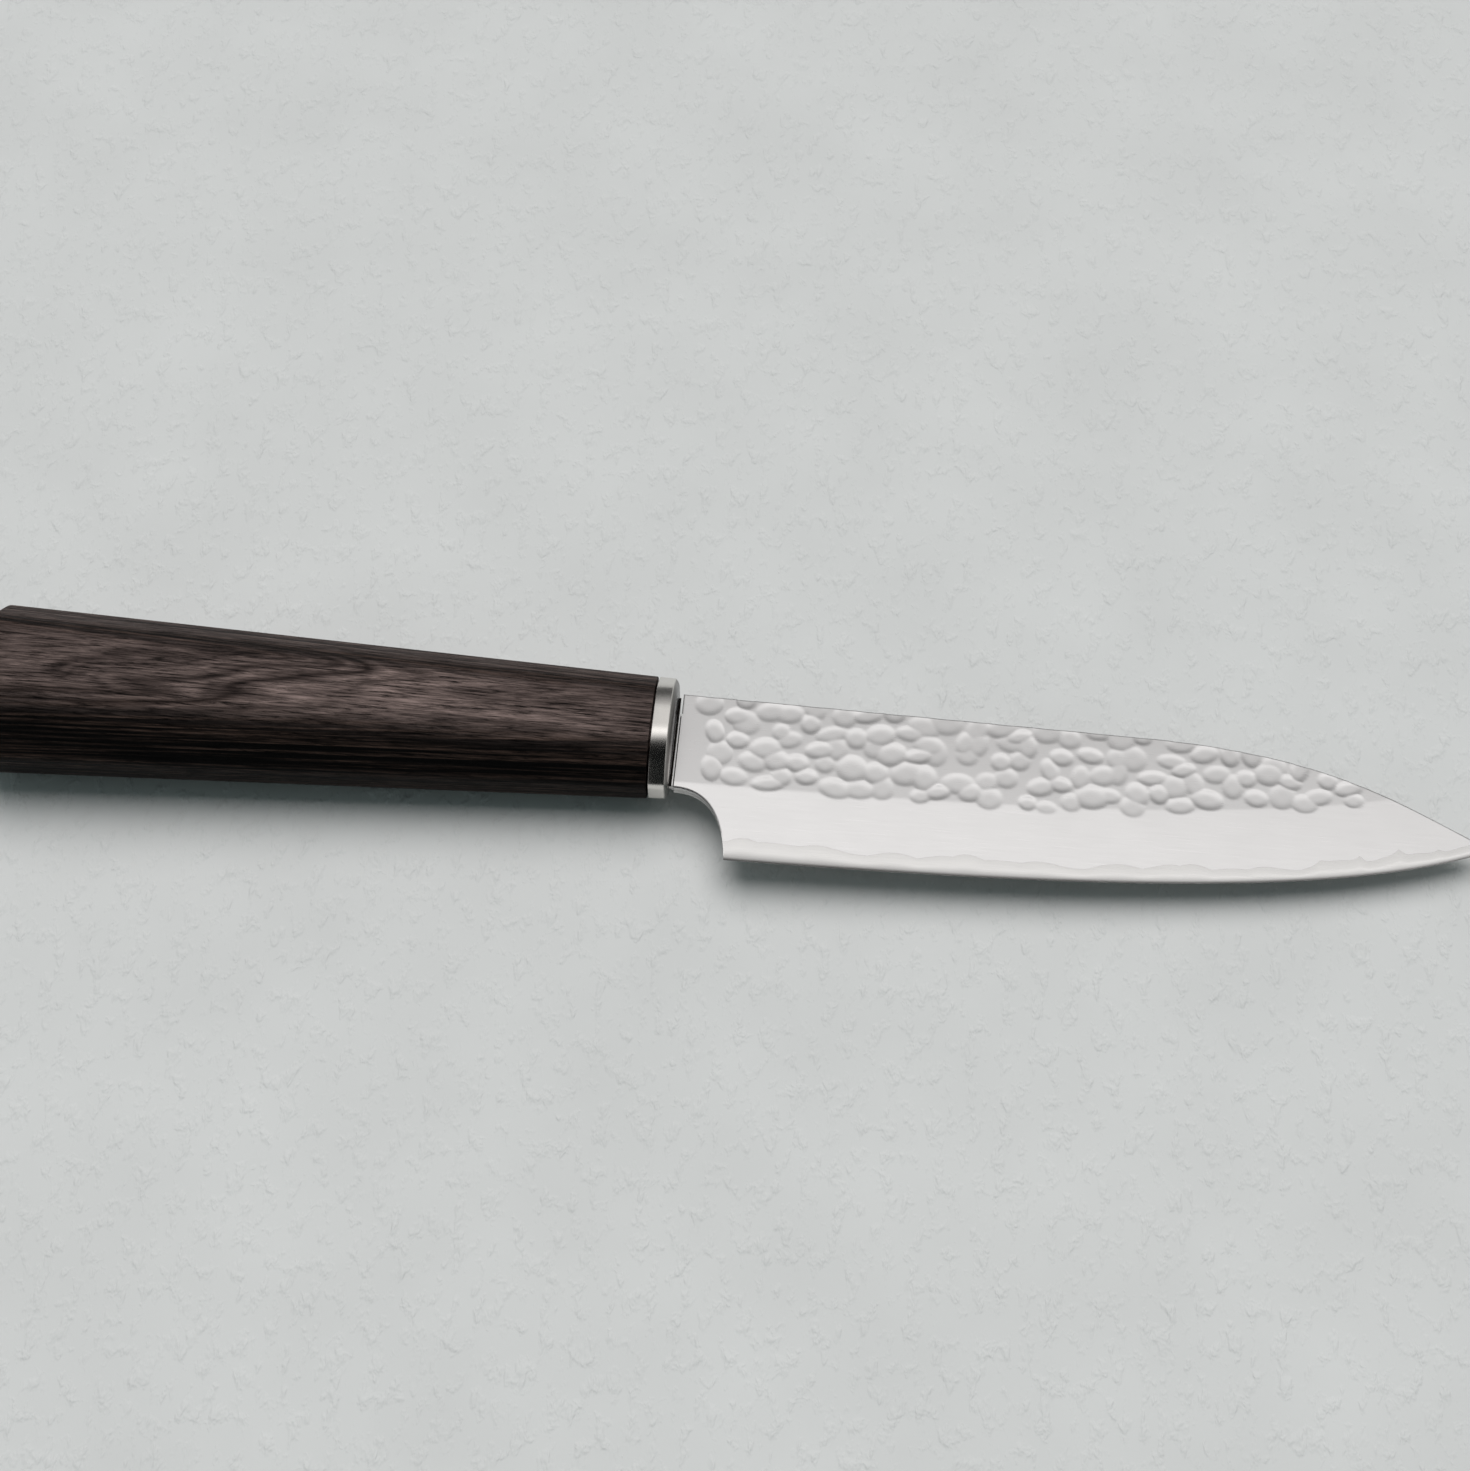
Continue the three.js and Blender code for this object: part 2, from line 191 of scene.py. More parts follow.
# %% Paint and finish
def paint(mesh, name, values, kind="FLOAT"):
    field = "vector" if kind == "FLOAT_VECTOR" else "value"
    attribute = mesh.attributes.new(name, kind, "POINT")
    attribute.data.foreach_set(field, np.array(values, np.float32).ravel())


SHARP = math.radians(32)


def finish_piece(name, mesh, replaced, material):
    where = np.zeros(len(mesh.vertices) * 3, np.float32)
    mesh.vertices.foreach_get("co", where)
    paint(mesh, "knife_mm", where, "FLOAT_VECTOR")
    mesh.transform(to_frame)
    mesh.shade_smooth()
    mesh.set_sharp_from_angle(angle=SHARP)
    mesh.materials.clear()
    mesh.materials.append(material)
    piece = bpy.data.objects.new(name, mesh)
    bpy.context.scene.collection.objects.link(piece)
    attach(piece, "root")
    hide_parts(replaced)
    print("%s: %d faces of %s" % (name, len(mesh.polygons), material.name))


# %% [markdown]
# ## One helper for nodes
# Shaders and geometry nodes could be joined by hand in the editor. In a script one helper is enough for
# both: a node has settings, and each of its inputs gets a number or another node's output.

# %% Node helper
def add(tree, kind, inputs=None, **settings):
    node = tree.nodes.new(kind)
    for name, value in settings.items():
        setattr(node, name, value)
    for key, value in (inputs or {}).items():
        if isinstance(value, bpy.types.NodeSocket):
            tree.links.new(value, node.inputs[key])
        else:
            node.inputs[key].default_value = value
    return node


# %% [markdown]
# ## Colours and pattern sizes
# Colours are written as a colour picker shows them, in hex, and one function turns them into the linear
# values that a shader works with. A noise pattern is as large as one over its scale, so another function
# turns sizes in millimetres into scales.

# %% Hex to linear, millimetres to scale
def colour(text):
    parts = [int(text[i:i + 2], 16) / 255 for i in (1, 3, 5)]
    return (*[c / 12.92 if c <= 0.04045 else ((c + 0.055) / 1.055) ** 2.4 for c in parts], 1.0)


def scale_of(*sizes):
    return tuple(1 / size for size in sizes)


def new_material(name):
    material = bpy.data.materials.new(name)
    material.use_nodes = True
    tree = material.node_tree
    tree.nodes.clear()
    shader = add(tree, "ShaderNodeBsdfPrincipled")
    add(tree, "ShaderNodeOutputMaterial", {"Surface": shader.outputs[0]})
    return material, tree, shader


print("middle grey #808080 is %.3f in linear light" % colour("#808080")[0])

# %% [markdown]
# ## Steels
# The cladding is stainless steel with a satin finish, which gives the eye a pale grey with soft
# reflections. The hard core below it is slightly darker. The collar is stainless steel brushed round the
# band, so its highlights spread along the knife. All are metals with a roughness of about a quarter. Real
# grinding lines are a few hundredths of a millimetre apart, too fine to show, so they are drawn about a
# tenth of a millimetre wide. A painted value pulls the steel towards near black: painted shade in the
# neck grooves, on the blade's root above the tang and in the collar's slot, and a painted dark
# reflection on the collar's crowned front.

# %% Steel materials
GRIND = (6.7, 0.11, 0.11)
BRUSH = (0.07, 2.5, 2.5)
CLOUD = 8.3
LINE_DEPTH, SATIN = 0.00002, 0.15
# Near black for painted shade and painted dark reflection.
PAINTED_SHADE_TONE = "#1D1B1A"


def steel(name, light, dark, rough, line_size, bump):
    material, tree, shader = new_material(name)
    where = add(tree, "ShaderNodeAttribute", attribute_name="knife_mm").outputs["Vector"]
    lines = add(tree, "ShaderNodeVectorMath", {0: where, 1: scale_of(*line_size)}, operation="MULTIPLY")
    fine = add(tree, "ShaderNodeTexNoise", {"Vector": lines.outputs[0], "Scale": 1.0, "Detail": 3.0})
    cloud = add(tree, "ShaderNodeTexNoise", {"Vector": where, "Scale": 1 / CLOUD, "Detail": 2.0})
    clean = add(tree, "ShaderNodeMix", {0: cloud.outputs[0], 6: colour(dark), 7: colour(light)},
                data_type="RGBA")
    # Painted shade and painted dark reflection, read from the mesh, pull the steel towards near black.
    painted_shade = add(tree, "ShaderNodeAttribute", attribute_name="painted_shade").outputs["Fac"]
    tone = add(tree, "ShaderNodeMix", {0: painted_shade, 6: clean.outputs[2], 7: colour(PAINTED_SHADE_TONE)},
               data_type="RGBA")
    satin = add(tree, "ShaderNodeMapRange", {"Value": fine.outputs[0], "To Min": rough * (1 - SATIN),
                                             "To Max": rough * (1 + SATIN)})
    relief = add(tree, "ShaderNodeBump",
                 {"Strength": bump, "Distance": LINE_DEPTH, "Height": fine.outputs[0]})
    tree.links.new(tone.outputs[2], shader.inputs["Base Color"])
    tree.links.new(satin.outputs[0], shader.inputs["Roughness"])
    tree.links.new(relief.outputs[0], shader.inputs["Normal"])
    shader.inputs["Metallic"].default_value = 1.0
    print("material:", name)
    return material


clad_steel = steel("stainless cladding, satin", "#DCDAD9", "#D6D4D3", 0.29, GRIND, 0.03)
core_steel = steel("hard core steel, ground", "#D3D1CF", "#CDCBC9", 0.26, GRIND, 0.03)
collar_steel = steel("stainless collar, brushed round", "#EAE6E1", "#E0DCD7", 0.25, BRUSH, 0.3)

# %% [markdown]
# ## Tang
# All three layers run on behind the blade as one tang that narrows to a round end inside the handle. A
# short neck shows in front of the collar: a thin bright lip between two grooves, which are painted near
# black as painted shade, with a notch at the spine side. The tang could be its own object, but a tang is
# one with its blade, so its rings are simply the first ones of each layer. Two rings of a step lie a
# hundredth of a millimetre apart, so that no face has a zero area.

# %% Places along the tang
SEAT_X, MOUTH_X, TANG_END, TANG_TIP = 1.0, 0.72, -75.0, 2.5
TIP_TURNS = np.radians([12, 30, 50, 70, 90])
TAPER_START = 3.75
TANG_RISE, TANG_DROP, TANG_HALF = 4.1, -7.0, 0.75
NECK_LOW, STEP = -9.0, 0.01
# Start, end, top, half thickness and painted shade of groove, lip and groove.
NECK = ((MOUTH_X, 1.1, 7.4, 0.45, 1), (1.1, 1.32, 4.0, 0.8, 0), (1.32, 1.46, 4.0, 0.45, 1))


def tang_spans():
    middle = (TANG_RISE + TANG_DROP) / 2
    spans = []
    for turn in TIP_TURNS:
        x = TANG_END + TANG_TIP * (1 - math.cos(turn))
        half = TANG_TIP * math.sin(turn)
        spans.append((x, middle - half, middle + half, TANG_HALF, 0))
    top = np.interp(SEAT_X, [TANG_END + TANG_TIP, TAPER_START], [middle + TANG_TIP, TANG_RISE])
    spans.append((MOUTH_X, TANG_DROP, top, TANG_HALF, 0))
    for start, end, rise, half, painted_shade in NECK:
        spans += [(start + STEP, NECK_LOW, rise, half, painted_shade), (end, NECK_LOW, rise, half, painted_shade)]
    return spans


print("tang: %.0f mm long" % (MOUTH_X - TANG_END))

# %% [markdown]
# ## Stations and rows
# A regular grid could cover the blade, but a sharp corner needs points close together. Stations crowd
# round the choil, and rows crowd at the spine, where the arris is eased by a fifth of a millimetre.

# %% Stations and rows of the blade
FACE_ROWS, SPINE_ROWS, SPINE_SHARE, CROWD = 92, 8, 0.985, 0.7
spine_rows = SPINE_SHARE + (1 - SPINE_SHARE) * np.linspace(0, 1, SPINE_ROWS + 1)[1:] ** CROWD
ROWS = np.concatenate([np.linspace(0, SPINE_SHARE, FACE_ROWS), spine_rows])
EASE, STATION, CHOIL_STATIONS = 0.22, 0.3, 60
LAST_HEIGHT, LAST_REACH, LAST_TRIES = 0.5, 8, 400


def blade_stations(end):
    last = len(choil_curve) - 1
    choil = choil_curve[np.linspace(0, last, CHOIL_STATIONS + 1).astype(int)[:-1], 0]
    return np.concatenate([choil, np.linspace(HEEL_X, end, int((end - HEEL_X) / STATION))])


def eased(distance):
    inside = EASE - np.clip(distance, 0, EASE)
    return EASE - np.sqrt(EASE**2 - inside**2)


def cladding_end():
    x = np.linspace(TIP_X - LAST_REACH, TIP_X, LAST_TRIES)
    return x[spine_at(x) - edge_at(x) - cladding_at(x) > LAST_HEIGHT].max()


print("blade: %d stations, %d rows" % (len(blade_stations(cladding_end())), len(ROWS)))

# %% [markdown]
# ## Core
# The core is a hard steel plate with ten points round each ring: a cutting edge that is honed steeper
# than the bevel, the bare band of the bevel, and flat sides under the cladding. It could be cut by
# booleans, but rings that share the cladding's stations keep the wavy line tight.

# %% Make the core
HONED_HALF, TANG_BOND, LEAST = 0.025, 0.005, 0.02


def core_mesh(name):
    x = blade_stations(TIP_X - EDGE_THICK)
    low, high, edge = lower_at(x), spine_at(x), edge_at(x)
    side = np.minimum(core_half(x), bevel_half(x, high - edge))
    shoulder = np.minimum(low + CUTTING, (low + high) / 2)
    least = (high - shoulder) * LEAST
    share = (side - EDGE_THICK / 2) / (flat_half(x) - EDGE_THICK / 2)
    flat = np.clip(edge + share * BEVEL, shoulder + least, high - least)
    land = np.where(x < HEEL_X, np.minimum(side, bevel_half(x, low - edge)), HONED_HALF)
    lip = np.minimum(side, bevel_half(x, shoulder - edge))
    half_y = np.stack([low, shoulder, (shoulder + flat) / 2, flat, high], axis=1)
    half_z = np.stack([land, lip, (lip + side) / 2, side, side], axis=1)
    ring_y = np.concatenate([half_y, half_y[:, ::-1]], axis=1)
    ring_z = np.concatenate([-half_z, half_z[:, ::-1]], axis=1)
    blade = np.stack([np.repeat(x[:, None], ring_y.shape[1], axis=1), ring_y, ring_z], axis=-1)
    tang = []
    for at, bottom, top, _, _ in tang_spans():
        column = np.linspace(bottom, top, half_y.shape[1])
        half = side[0] - TANG_BOND
        tang.append(on_x(at, [[v, -half] for v in column] + [[v, half] for v in column[::-1]]))
    return loft(name, np.concatenate([np.array(tang), blade]))


finish_piece("core_layer", core_mesh("core_layer"), "blade_core", core_steel)

# %% [markdown]
# ## Cladding
# A cladding layer is a plate with a flat inside against the core. Its outside is the lower of flat and
# bevel, eased at the spine and the choil. It could be a plain box with a bevel modifier, but the hammer
# that follows needs many points and two painted values: `outer` marks the outside, and `slack` is how far
# the bevel lies under the flat there.

# %% Outside of a cladding layer
CHOIL_REACH, CHOIL_STRIDE = 1, 6


def cladding_face(x):
    high, edge = spine_at(x), edge_at(x)
    low = np.maximum(lower_at(x), edge + cladding_at(x))
    y = low[:, None] + (high - low)[:, None] * ROWS
    xx = np.repeat(x[:, None], len(ROWS), axis=1)
    flat, bevel = flat_half(xx), bevel_half(xx, y - edge[:, None])
    choil_gap = np.full(xx.shape, EASE)
    near = x < HEEL_X + CHOIL_REACH
    gaps = np.stack([xx, y], axis=-1)[near][:, :, None, :] - choil_curve[None, None, ::CHOIL_STRIDE, :]
    choil_gap[near] = np.sqrt((gaps**2).sum(-1)).min(-1)
    outer = np.minimum(flat, bevel) - eased(high[:, None] - y) - eased(choil_gap)
    return y, outer, np.maximum(flat - bevel, 0)


print("cladding: %.2f mm thick at the heel" % (flat_half(HEEL_X) - core_half(HEEL_X)))

# %% A whole cladding layer
THINNEST, ROOT_SHADE = 0.002, 0.1


def cladding_mesh(name, side):
    x = blade_stations(cladding_end())
    y, outer, under = cladding_face(x)
    inner = core_half(x)[:, None] + BOND
    outer = np.maximum(outer, inner + THINNEST)
    ring_y = np.concatenate([y[:, :1], y[:, -1:], y[:, ::-1]], axis=1)
    ring_z = np.concatenate([inner, inner, outer[:, ::-1]], axis=1)
    blade = np.stack([np.repeat(x[:, None], ring_y.shape[1], axis=1), ring_y, ring_z], axis=-1)
    spans = tang_spans()
    tang = []
    for at, bottom, top, half, _ in spans:
        column = bottom + (top - bottom) * ROWS[::-1]
        inside = inner[0, 0] + TANG_BOND
        ends = [[bottom, inside], [top, inside]]
        tang.append(on_x(at, ends + [[v, half] for v in column]))
    rings = np.concatenate([np.array(tang), blade])
    marks, slack, painted_shade = np.zeros((3, *rings.shape[:2]))
    marks[len(tang):, 2:] = 1
    slack[len(tang):, 2:] = under[:, ::-1]
    # Painted shade: near black in the neck grooves and on the blade's root end above the tang.
    painted_shade[:len(tang)] = np.array([span[4] for span in spans])[:, None]
    painted_shade[len(tang):] = (blade[:, :, 0] < ROOT_X + ROOT_SHADE) & (blade[:, :, 1] > TANG_RISE)
    if side < 0:
        rings = rings[:, ::-1] * (1, 1, -1)
        marks, slack, painted_shade = marks[:, ::-1], slack[:, ::-1], painted_shade[:, ::-1]
    mesh = loft(name, rings)
    for label, values in (("outer", marks), ("slack", slack), ("painted_shade", painted_shade)):
        paint(mesh, label, values)
    return mesh


# %% [markdown]
# ## Hammer blows
# A smith strikes rows of overlapping blows from the spine down. Points scattered at random would clump,
# so a short seeded rule lays out rows, each shifted by half a step, and moves every blow a little. The
# CAD model follows the same rule with the same seeds. Each blow keeps its length and width as two
# vectors, one along and one across, so that the hammer only needs dot products.

# %% Blow positions as a cloud of points
BLOW_START, BLOW_STEP, BLOW_ROW = 7.2, 4.1, 3.3
BLOW_LONG, BLOW_WIDE, BLOW_DEEP = 2.15, 1.9, 0.11
BLOW_ROWS, BLOW_COLUMNS, FIRST_ROW, GROUND_OFF = 5, 26, 1.0, 0.7
JITTER, SPREAD, TURN, DEPTH_SPREAD = 0.36, 0.32, 0.35, 0.3
MULTIPLIER, MODULUS = 16807, 2147483647


def seeded(seed):
    state = seed
    while True:
        state = state * MULTIPLIER % MODULUS
        yield state / MODULUS


def blow_cloud(name, seed):
    random = seeded(seed)
    rows = []
    for row in range(BLOW_ROWS):
        for column in range(BLOW_COLUMNS):
            draw = [next(random) * 2 - 1 for _ in range(6)]
            x = BLOW_START + (column + row % 2 / 2 + draw[0] * JITTER) * BLOW_STEP
            y = float(spine_at(x)) - FIRST_ROW - (row + draw[1] * JITTER) * BLOW_ROW
            long, wide = BLOW_LONG * (1 + draw[2] * SPREAD), BLOW_WIDE * (1 + draw[3] * SPREAD)
            deep = BLOW_DEEP * (1 + draw[5] * DEPTH_SPREAD)
            if y > edge_at(x) + BEVEL - GROUND_OFF and y > lower_at(x) + wide / 2:
                rows.append((x, y, long, wide, draw[4] * TURN, deep))
    x, y, long, wide, turn, depth = np.array(rows).T
    flat = np.zeros(len(rows))
    along = np.column_stack([np.cos(turn) / long, np.sin(turn) / long, flat])
    across = np.column_stack([-np.sin(turn) / wide, np.cos(turn) / wide, flat])
    mesh = bpy.data.meshes.new(name)
    mesh.from_pydata(np.column_stack([x, y, flat]).tolist(), [], [])
    paint(mesh, "along", along, "FLOAT_VECTOR")
    paint(mesh, "across", across, "FLOAT_VECTOR")
    paint(mesh, "depth", depth)
    print("%s: %d blows" % (name, len(rows)))
    return bpy.data.objects.new(name, mesh)


# %% [markdown]
# ## One blow
# Sculpting or a bump pattern could suggest the marks, but a real dent changes the outline at the spine,
# so it has to move points. A blow's dent is almost flat inside and steep at its rim: its depth times one
# less the fourth power of the distance from its middle, where the rim lies at a distance of one.

# %% Depth of one blow
def blow_depth(tree, cloud, turn):
    here = add(tree, "GeometryNodeInputPosition").outputs[0]
    found = {}
    for name, kind in (("along", "FLOAT_VECTOR"), ("across", "FLOAT_VECTOR"), ("depth", "FLOAT")):
        value = add(tree, "GeometryNodeInputNamedAttribute", {"Name": name}, data_type=kind).outputs[0]
        found[name] = add(tree, "GeometryNodeSampleIndex",
                          {"Geometry": cloud, "Value": value, "Index": turn}, data_type=kind).outputs[0]
    centre = add(tree, "GeometryNodeSampleIndex",
                 {"Geometry": cloud, "Value": here, "Index": turn}, data_type="FLOAT_VECTOR")
    away = add(tree, "ShaderNodeVectorMath", {0: here, 1: centre.outputs[0]},
               operation="SUBTRACT").outputs[0]
    along = add(tree, "ShaderNodeVectorMath", {0: away, 1: found["along"]}, operation="DOT_PRODUCT")
    across = add(tree, "ShaderNodeVectorMath", {0: away, 1: found["across"]}, operation="DOT_PRODUCT")
    oval = add(tree, "ShaderNodeCombineXYZ",
               {0: along.outputs["Value"], 1: across.outputs["Value"]}).outputs[0]
    square = add(tree, "ShaderNodeVectorMath", {0: oval, 1: oval}, operation="DOT_PRODUCT")
    steep = add(tree, "ShaderNodeMath", {0: square.outputs["Value"], 1: 2.0}, operation="POWER")
    rest = add(tree, "ShaderNodeMath", {0: 1.0, 1: steep.outputs[0]}, operation="SUBTRACT")
    return add(tree, "ShaderNodeMath", {0: rest.outputs[0], 1: found["depth"]},
               operation="MULTIPLY").outputs[0]


# %% [markdown]
# ## All blows
# A repeat zone takes the blows one by one, so their number can change without a change to the nodes. A
# point keeps the deepest dent that it lies in, as the real steel does where two blows overlap.

# %% Deepest dent at each point
def strike_all(tree, skin, cloud, dent):
    size = add(tree, "GeometryNodeAttributeDomainSize", {0: cloud}, component="MESH")
    smooth = add(tree, "GeometryNodeStoreNamedAttribute",
                 {"Geometry": skin, "Name": "dent", "Value": 0.0}, data_type="FLOAT")
    start = add(tree, "GeometryNodeRepeatInput")
    end = add(tree, "GeometryNodeRepeatOutput")
    start.pair_with_output(end)
    tree.links.new(size.outputs["Point Count"], start.inputs["Iterations"])
    tree.links.new(smooth.outputs[0], start.inputs["Geometry"])
    struck = blow_depth(tree, cloud, start.outputs["Iteration"])
    deepest = add(tree, "ShaderNodeMath", {0: struck, 1: dent}, operation="MAXIMUM")
    keep = add(tree, "GeometryNodeStoreNamedAttribute",
               {"Geometry": start.outputs["Geometry"], "Name": "dent", "Value": deepest.outputs[0]},
               data_type="FLOAT")
    tree.links.new(keep.outputs[0], end.inputs["Geometry"])
    return end.outputs["Geometry"]


# %% [markdown]
# ## The hammer as geometry nodes
# The bevel was ground after the hammering, so a dent shows only where it reaches below the bevel. That is
# why `slack` is taken away before the points move inwards. The tree has named inputs, so one hammer
# serves both sides of the blade.

# %% Hammer tree
def hammer_tree():
    tree = bpy.data.node_groups.new("hammered face", "GeometryNodeTree")
    for name, kind in (("Geometry", "Geometry"), ("Blows", "Object"), ("Side", "Float"),
                       ("Force", "Float"), ("Steel", "Material")):
        tree.interface.new_socket(name, in_out="INPUT", socket_type="NodeSocket" + kind)
    tree.interface.new_socket("Geometry", in_out="OUTPUT", socket_type="NodeSocketGeometry")
    given = add(tree, "NodeGroupInput").outputs
    cloud = add(tree, "GeometryNodeObjectInfo", {"Object": given["Blows"]}).outputs["Geometry"]
    dent, slack, outer = [add(tree, "GeometryNodeInputNamedAttribute", {"Name": name},
                              data_type="FLOAT").outputs[0] for name in ("dent", "slack", "outer")]
    struck = strike_all(tree, given["Geometry"], cloud, dent)
    forced = add(tree, "ShaderNodeMath", {0: dent, 1: given["Force"]}, operation="MULTIPLY")
    left = add(tree, "ShaderNodeMath", {0: forced.outputs[0], 1: slack}, operation="SUBTRACT")
    shown = add(tree, "ShaderNodeMath", {0: left.outputs[0], 1: 0.0}, operation="MAXIMUM")
    face = add(tree, "ShaderNodeMath", {0: shown.outputs[0], 1: outer}, operation="MULTIPLY")
    inward = add(tree, "ShaderNodeMath", {0: 0.0, 1: given["Side"]}, operation="SUBTRACT")
    move = add(tree, "ShaderNodeMath", {0: face.outputs[0], 1: inward.outputs[0]}, operation="MULTIPLY")
    offset = add(tree, "ShaderNodeCombineXYZ", {2: move.outputs[0]})
    moved = add(tree, "GeometryNodeSetPosition", {"Geometry": struck, "Offset": offset.outputs[0]})
    real = add(tree, "GeometryNodeRealizeInstances", {"Geometry": moved.outputs[0]})
    coated = add(tree, "GeometryNodeSetMaterial",
                 {"Geometry": real.outputs[0], "Material": given["Steel"]})
    add(tree, "NodeGroupOutput", {"Geometry": coated.outputs[0]})
    return tree


hammer = hammer_tree()
print("hammer: %d nodes" % len(hammer.nodes))

# %% [markdown]
# ## Striking the blade
# Each cladding layer is struck with its own cloud of blows, because the two sides of a real blade never
# match. The force is four fifths of the CAD model's, because polishing has softened the dents. The
# modifier's result becomes a plain mesh, and the blank and the cloud are removed.

# %% Make the cladding
FORCE = 0.8


def hammered(name, mesh, side, seed, material):
    blank = bpy.data.objects.new(name + " blank", mesh)
    cloud = blow_cloud(name + " blows", seed)
    for thing in (blank, cloud):
        bpy.context.scene.collection.objects.link(thing)
    modifier = blank.modifiers.new("hammer", "NODES")
    modifier.node_group = hammer
    inputs = {s.name: s.identifier for s in hammer.interface.items_tree if s.in_out == "INPUT"}
    modifier[inputs["Blows"]] = cloud
    modifier[inputs["Side"]] = float(side)
    modifier[inputs["Force"]] = FORCE
    modifier[inputs["Steel"]] = material
    bpy.context.view_layer.update()
    struck = blank.evaluated_get(bpy.context.evaluated_depsgraph_get())
    result = bpy.data.meshes.new_from_object(struck)
    bpy.data.objects.remove(blank)
    bpy.data.objects.remove(cloud)
    return result


for name, side, seed, node in (("right_face", 1, 4711, "cladding_right"),
                               ("left_face", -1, 1933, "cladding_left")):
    struck = hammered(name, cladding_mesh(name + " blank", side), side, seed, clad_steel)
    finish_piece(name, struck, node, clad_steel)

# %% [markdown]
# ## Octagon and slot
# Collar and handle follow one octagon that grows from the collar's rim to the butt. A cylinder with eight
# sides and a bevel could stand in, but here the ridges beside the wide faces are much rounder than the
# others, so each corner gets its own arc. The ring for the tang's slot has as many points as the octagon,
# which lets one loft run from the outside into the slot.

# %% Octagon ring
# Height, thickness and cut corner of the octagon at both ends of the handle.
RIM = (20.4, 14.1, 4.95)
BUTT = (29.15, 19.2, 7.0)
FACE_RIDGE, SIDE_RIDGE = 8.0, 2.0
RIDGE_STEPS, FLAT_STEPS = 10, 6


def octagon(x, inset):
    share = -x / HANDLE_LENGTH
    high, wide, facet = (r + (b - r) * share for r, b in zip(RIM, BUTT))
    high, wide, facet = high / 2 - inset, wide / 2 - inset, facet - inset * (2 - math.sqrt(2))
    near, far = wide - facet, high - facet
    corners = [(high, -near), (high, near), (far, wide), (-far, wide),
               (-high, near), (-high, -near), (-far, -wide), (far, -wide)]
    arcs = []
    for corner, (y, z) in enumerate(corners):
        ridge = SIDE_RIDGE if corner % 4 < 2 else FACE_RIDGE
        radius = max(ridge - inset, ridge / 4)
        middle = (corner - 0.5) * math.pi / 4
        back = radius / math.cos(math.pi / 8)
        turn = middle + np.linspace(-0.5, 0.5, RIDGE_STEPS + 1) * math.pi / 4
        arcs.append(np.column_stack([y - back * math.cos(middle) + radius * np.cos(turn),
                                     z - back * math.sin(middle) + radius * np.sin(turn)]))
    points = []
    for arc, following in zip(arcs, arcs[1:] + arcs[:1]):
        points += list(arc) + list(np.linspace(arc[-1], following[0], FLAT_STEPS + 1)[1:-1])
    return on_x(x, np.array(points))


print("octagon: %d points" % len(octagon(0.0, 0.0)))

# %% Slot ring
SLOT_ARC, SLOT_SIDE = 90, 60


def slot_ring(x, like, grow):
    high, low, radius = TANG_RISE + grow, TANG_DROP - grow, TANG_HALF + grow
    turn = np.linspace(-math.pi / 2, math.pi / 2, SLOT_ARC)
    top = np.column_stack([high - radius + radius * np.cos(turn), radius * np.sin(turn)])
    bottom = np.column_stack([low + radius - radius * np.cos(turn), -radius * np.sin(turn)])
    side = np.linspace(top[-1], bottom[0], SLOT_SIDE)[1:-1]
    outline = np.concatenate([top, side, bottom, side[::-1] * (1, -1)])
    angle = np.arctan2(outline[:, 1], outline[:, 0])
    wanted = np.arctan2(like[:, 2], like[:, 1])
    length = np.interp(wanted, angle, np.hypot(*outline.T), period=2 * math.pi)
    return on_x(x, np.column_stack([length * np.cos(wanted), length * np.sin(wanted)]))


print("tang in the slot: %.1f mm high, %.1f mm thick" % (TANG_RISE - TANG_DROP, 2 * TANG_HALF))

# %% [markdown]
# ## Collar
# The collar is a thin cup of steel: a band, a crowned front with the tang's slot, and a hollow at the
# back for the wood. Cutting it from a solid takes booleans. A row of rings that runs over the band and
# the front, through the slot and back inside closes on itself and gives the same cup as clean quads. The
# crowned front gets a painted dark reflection, and the slot gets painted shade.

# %% Make the collar
COLLAR_LENGTH, CROWN, CROWN_INSET, COLLAR_EASE = 2.55, 0.7, 1.4, 0.12
CUP_DEPTH, CUP_WALL, SLOT_ROOM = 0.9, 1.2, 0.3
CROWN_START, CROWN_STEPS = math.sin(math.pi / 4), 7
# Painted dark reflection: its strength at the crown's rim, its least, and the heights where it fades in.
CROWN_SHADE_RIM, SHADE_LEAST, SHADE_LOW_Y, SHADE_TOP_Y = 0.75, 0.2, -8, -4


def collar_mesh(name):
    rings = [octagon(-COLLAR_LENGTH, COLLAR_EASE)]
    rings += [octagon(COLLAR_EASE / 3 - COLLAR_LENGTH, COLLAR_EASE / 3)]
    rings += [octagon(COLLAR_EASE - COLLAR_LENGTH, 0.0), octagon(0.0, 0.0)]
    for turn in np.linspace(math.pi / 4, math.pi / 2, CROWN_STEPS + 1)[1:]:
        x = CROWN * (math.sin(turn) - CROWN_START) / (1 - CROWN_START)
        rings.append(octagon(x, CROWN_INSET * (1 - math.cos(turn) / CROWN_START)))
    front = rings[-1]
    rings += [slot_ring(CROWN, front, SLOT_ROOM), slot_ring(-CUP_DEPTH, front, SLOT_ROOM)]
    rings += [octagon(-CUP_DEPTH, CUP_WALL), octagon(-COLLAR_LENGTH, CUP_WALL)]
    mesh = loft(name, rings, closed=True)
    # Painted dark reflection on the crowned front and painted shade in the slot, weaker towards the edge
    # side.
    front_shade = np.concatenate([np.zeros(4), np.linspace(CROWN_SHADE_RIM, 1.0, CROWN_STEPS), [1, 1, 0, 0]])
    height = np.array(rings)[:, :, 1]
    paint(mesh, "painted_shade", front_shade[:, None] * np.interp(height, [SHADE_LOW_Y, SHADE_TOP_Y], [SHADE_LEAST, 1]))
    return mesh


